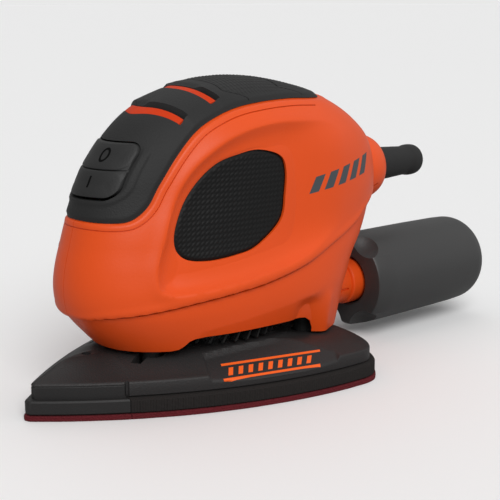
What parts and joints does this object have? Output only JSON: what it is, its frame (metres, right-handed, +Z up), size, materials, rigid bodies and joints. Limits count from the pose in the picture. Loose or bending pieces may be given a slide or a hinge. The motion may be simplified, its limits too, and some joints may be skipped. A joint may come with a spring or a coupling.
{
  "type": "detail sander",
  "caption": "Palm-held orbital detail sander on an iron-shaped base with exchangeable tip, soft top cover, rocker switch, cord guard and a pull-off dust canister.",
  "frame": {"origin": "motor axis where it meets the abrasive face", "axes": "+Z up along the motor axis, +Y towards the cord and dust canister, tip of the base towards -Y"},
  "size_m": [0.101, 0.2342, 0.115],
  "materials": {
    "orange_shell": "satin, injection moulded",
    "soft_cover": "matte, fine grain",
    "grip_rubber": "matte, woven pattern",
    "vent_red": "matte",
    "plate_plastic": "fine moulded grain",
    "foam": "soft foam",
    "abrasive": "coated abrasive, cloth back",
    "canister_plastic": "satin",
    "steel": "ground",
    "plated_steel": "zinc plated",
    "copper": "turned copper",
    "magnet": "sintered",
    "white_nylon": "moulded",
    "black_plastic": "moulded",
    "board": "circuit board",
    "felt": "pleated felt"
  },
  "bodies": {
    "housing": {"housing_left": "orange_shell", "housing_right": "orange_shell", "top_cover": "soft_cover", "vent_louvre_front": "vent_red", "vent_louvre_rear": "vent_red", "grip_left": "grip_rubber", "grip_right": "grip_rubber", "rocker_pin": "steel", "switch_body": "black_plastic", "motor_can": "plated_steel", "motor_mount_ring": "soft_cover", "magnet_left": "magnet", "magnet_right": "magnet", "lower_motor_bearing": "steel", "motor_end_cap": "white_nylon", "upper_motor_bearing": "steel", "carbon_brush_left": "black_plastic", "carbon_brush_right": "black_plastic", "fan_shroud": "black_plastic", "leg_front_left": "soft_cover", "leg_front_right": "soft_cover", "leg_rear_left": "soft_cover", "leg_rear_right": "soft_cover", "housing_screw_nose": "plated_steel", "housing_screw_low_front": "plated_steel", "housing_screw_low_rear": "plated_steel", "housing_screw_tail": "plated_steel", "housing_screw_top": "plated_steel", "cord_guard": "soft_cover", "power_cord": "soft_cover", "cord_clamp": "white_nylon", "cord_rest": "white_nylon", "switch_lead": "black_plastic", "motor_lead": "vent_red", "rectifier_board": "board", "dust_port": "orange_shell"},
    "rotor": {"motor_shaft": "steel", "armature_core": "steel", "commutator": "copper", "cooling_fan": "white_nylon", "eccentric_hub": "plated_steel", "counterweight": "plated_steel", "bearing_inner_race": "steel", "bearing_screw": "plated_steel"},
    "base": {"base_plate": "plate_plastic", "foam_pad": "foam", "abrasive_sheet": "abrasive", "bearing_outer_race": "steel", "bearing_balls": "steel"},
    "tip": {"tip_holder": "plate_plastic", "tip_screw": "plated_steel", "abrasive_tip": "abrasive"},
    "rocker": {"switch_rocker": "soft_cover"},
    "canister": {"canister_shell": "canister_plastic", "filter_frame": "plate_plastic", "dust_filter": "felt"}
  },
  "joints": [
    {"name": "motor_spin", "type": "hinge", "parent": "housing", "child": "rotor", "pos_m": [0, 0, 0.06], "axis": [0, 0, 1], "continuous": true},
    {"name": "base_orbit", "type": "hinge", "parent": "rotor", "child": "base", "pos_m": [0.00075, 0, 0.0185], "axis": [0, 0, 1], "continuous": true},
    {"name": "switch_rock", "type": "hinge", "parent": "housing", "child": "rocker", "pos_m": [0, -0.04448, 0.08096], "axis": [1, 0, 0], "range_deg": [-4.5, 4.5]},
    {"name": "canister_slide", "type": "slide", "parent": "housing", "child": "canister", "axis": [0, 1, 0], "range_m": [0, 0.03]},
    {"name": "tip_slide", "type": "slide", "parent": "base", "child": "tip", "axis": [0, -1, 0], "range_m": [0, 0.03]}
  ],
  "couplings": [
    {"joint": "base_orbit", "follows": "motor_spin", "ratio": -1}
  ]
}
